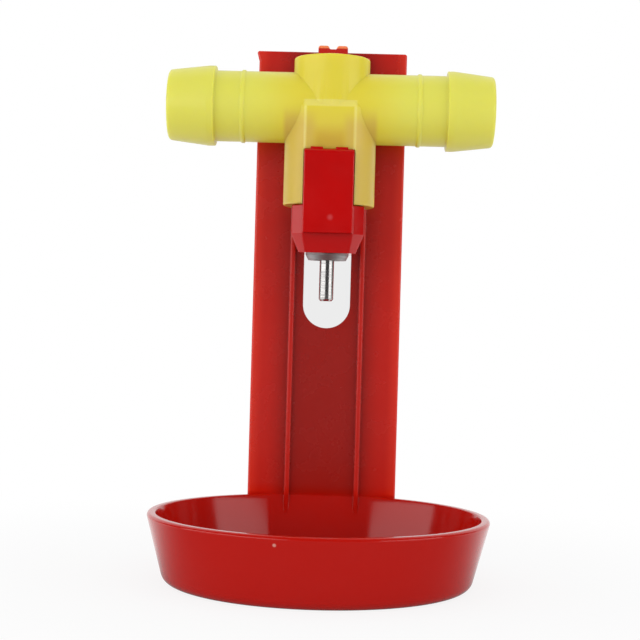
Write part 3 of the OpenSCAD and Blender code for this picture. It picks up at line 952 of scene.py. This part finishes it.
studio = {
    "height": 41.5, "distance": 254.0, "aside": -0.9, "lens": 84.375, "azimuth": 1.0, "roll": 1.6,
    "sideLight": 0.78, "frontLight": 0.98, "roomLight": 0.02,
    "backLean": 0.6, "backSpan": (0.55, 0.85),
    "shadowSpan": (0.03, 0.12), "shadowShare": 0.85,
    "frontFloor": 0.2, "frontSpan": (-0.02, 0.03),
    # The painted shadow of the plate on the backdrop, seen through the slot
    "slotShade": 0.84, "slotSpan": (0.026, 0.045), "slotUp": 6,
    "boxAway": 0.6, "boxHigh": 0.31, "boxElevation": 5.4, "boxAim": (0, 10, 40),
}
softboxes = (
    {"name": "leftBox", "azimuth": -57, "wide": 0.97, "power": 1.55},
    {"name": "rightBox", "azimuth": 64, "wide": 0.52, "power": 0.85},
)


def makeFloor():
    bpy.ops.mesh.primitive_plane_add(size=8, location=(0, 0, 0))
    floor = bpy.context.object
    floor.name = "floor"
    material = bpy.data.materials.new("paleFloor")
    material.use_nodes = True
    tree = material.node_tree
    tree.nodes.clear()
    where = addNode(tree, "ShaderNodeTexCoord").outputs["Object"]
    away = addNode(tree, "ShaderNodeVectorMath", {0: where}, operation="LENGTH").outputs["Value"]
    far = ramp(tree, away, *studio["shadowSpan"], studio["shadowShare"], 1)
    depth = addNode(tree, "ShaderNodeSeparateXYZ", {0: where}).outputs["Y"]
    rays = addNode(tree, "ShaderNodeLightPath").outputs
    # The sheet's front part is out of the light, as reflections show
    mirrored = calc(tree, "MAXIMUM", rays["Is Glossy Ray"], rays["Is Transmission Ray"])
    lit = multiply(tree, mirrored, ramp(tree, depth, *studio["frontSpan"], studio["frontFloor"], 1))
    seen = calc(tree, "MAXIMUM", rays["Is Camera Ray"], mirrored)
    bright = calc(tree, "MAXIMUM", rays["Is Camera Ray"], lit)
    diffuse = addNode(tree, "ShaderNodeBsdfDiffuse", {"Color": (0.86, 0.86, 0.87, 1)})
    white = addNode(tree, "ShaderNodeEmission", {"Color": (1, 1, 1, 1), "Strength": bright})
    glow = multiply(tree, seen, calc(tree, "MAXIMUM", far, mirrored))
    mixed = addNode(tree, "ShaderNodeMixShader", {
        0: glow, 1: diffuse.outputs[0], 2: white.outputs[0]})
    addNode(tree, "ShaderNodeOutputMaterial", {"Surface": mixed.outputs[0]})
    floor.data.materials.append(material)


def cameraPlace():
    turn = Matrix.Rotation(math.radians(studio["azimuth"]), 4, "Z")
    centre = Vector((0, teeY * mm, studio["height"] * mm))
    back = turn @ Vector((studio["aside"] * mm, -studio["distance"] * mm, 0))
    return centre + back, turn


def slotDirection():
    slot = Vector((0, plate["front"], plate["slotLow"] + studio["slotUp"])) * mm
    return (slot - cameraPlace()[0]).normalized()


def makeWorld():
    world = bpy.data.worlds.new("studio")
    world.use_nodes = True
    scene.world = world
    tree = world.node_tree
    tree.nodes.clear()
    where = addNode(tree, "ShaderNodeTexCoord").outputs["Generated"]
    direction = addNode(tree, "ShaderNodeSeparateXYZ", {0: where}).outputs
    # Reflections see white behind and above the object, and a dim room where the camera stands
    lifted = multiply(tree, direction["Z"], studio["backLean"])
    pale = ramp(tree, calc(tree, "ADD", direction["Y"], lifted), *studio["backSpan"])
    rays = addNode(tree, "ShaderNodeLightPath").outputs
    soft = ramp(tree, pale, 0, 1, studio["roomLight"], 1.0, False)
    # A painted shadow of the plate: the backdrop is a little greyer where the main camera sees it
    # through the slot
    away = addNode(tree, "ShaderNodeVectorMath", {
        0: where, 1: slotDirection()}, operation="DISTANCE").outputs["Value"]
    shaded = ramp(tree, away, *studio["slotSpan"], studio["slotShade"], 1.0)
    strength = addNode(tree, "ShaderNodeMix", {0: rays["Is Camera Ray"], 2: soft, 3: shaded})
    # The soft light on the object is a little stronger from the front
    front = ramp(tree, direction["Y"], 0, -1, studio["sideLight"], studio["frontLight"], False)
    fill = addNode(tree, "ShaderNodeMix", {
        0: rays["Is Diffuse Ray"], 2: strength.outputs[0], 3: front})
    back = addNode(tree, "ShaderNodeBackground", {
        "Color": (1, 1, 1, 1), "Strength": fill.outputs[0]})
    addNode(tree, "ShaderNodeOutputWorld", {"Surface": back.outputs[0]})


def addSoftbox(box):
    light = bpy.data.lights.new(box["name"], "AREA")
    light.shape = "RECTANGLE"
    light.size = box["wide"]
    light.size_y = studio["boxHigh"]
    light.energy = box["power"]
    obj = bpy.data.objects.new(box["name"], light)
    scene.collection.objects.link(obj)
    a = math.radians(box["azimuth"])
    e = math.radians(studio["boxElevation"])
    towards = Vector((math.sin(a) * math.cos(e), -math.cos(a) * math.cos(e), math.sin(e)))
    obj.location = Vector(studio["boxAim"]) * mm + towards * studio["boxAway"]
    obj.rotation_euler = (-towards).to_track_quat("-Z", "Y").to_euler()


def makeCamera():
    data = bpy.data.cameras.new("camera")
    data.lens = studio["lens"]
    data.sensor_width = 36
    data.clip_start = 0.01
    camera = bpy.data.objects.new("camera", data)
    scene.collection.objects.link(camera)
    place, turn = cameraPlace()
    level = turn @ Matrix.Rotation(math.pi / 2, 4, "X")
    roll = Matrix.Rotation(math.radians(studio["roll"]), 4, "Z")
    camera.matrix_world = Matrix.Translation(place) @ level @ roll
    scene.camera = camera


makeFloor()
makeWorld()
for box in softboxes:
    addSoftbox(box)
makeCamera()
print("stage: floor, light and camera set")
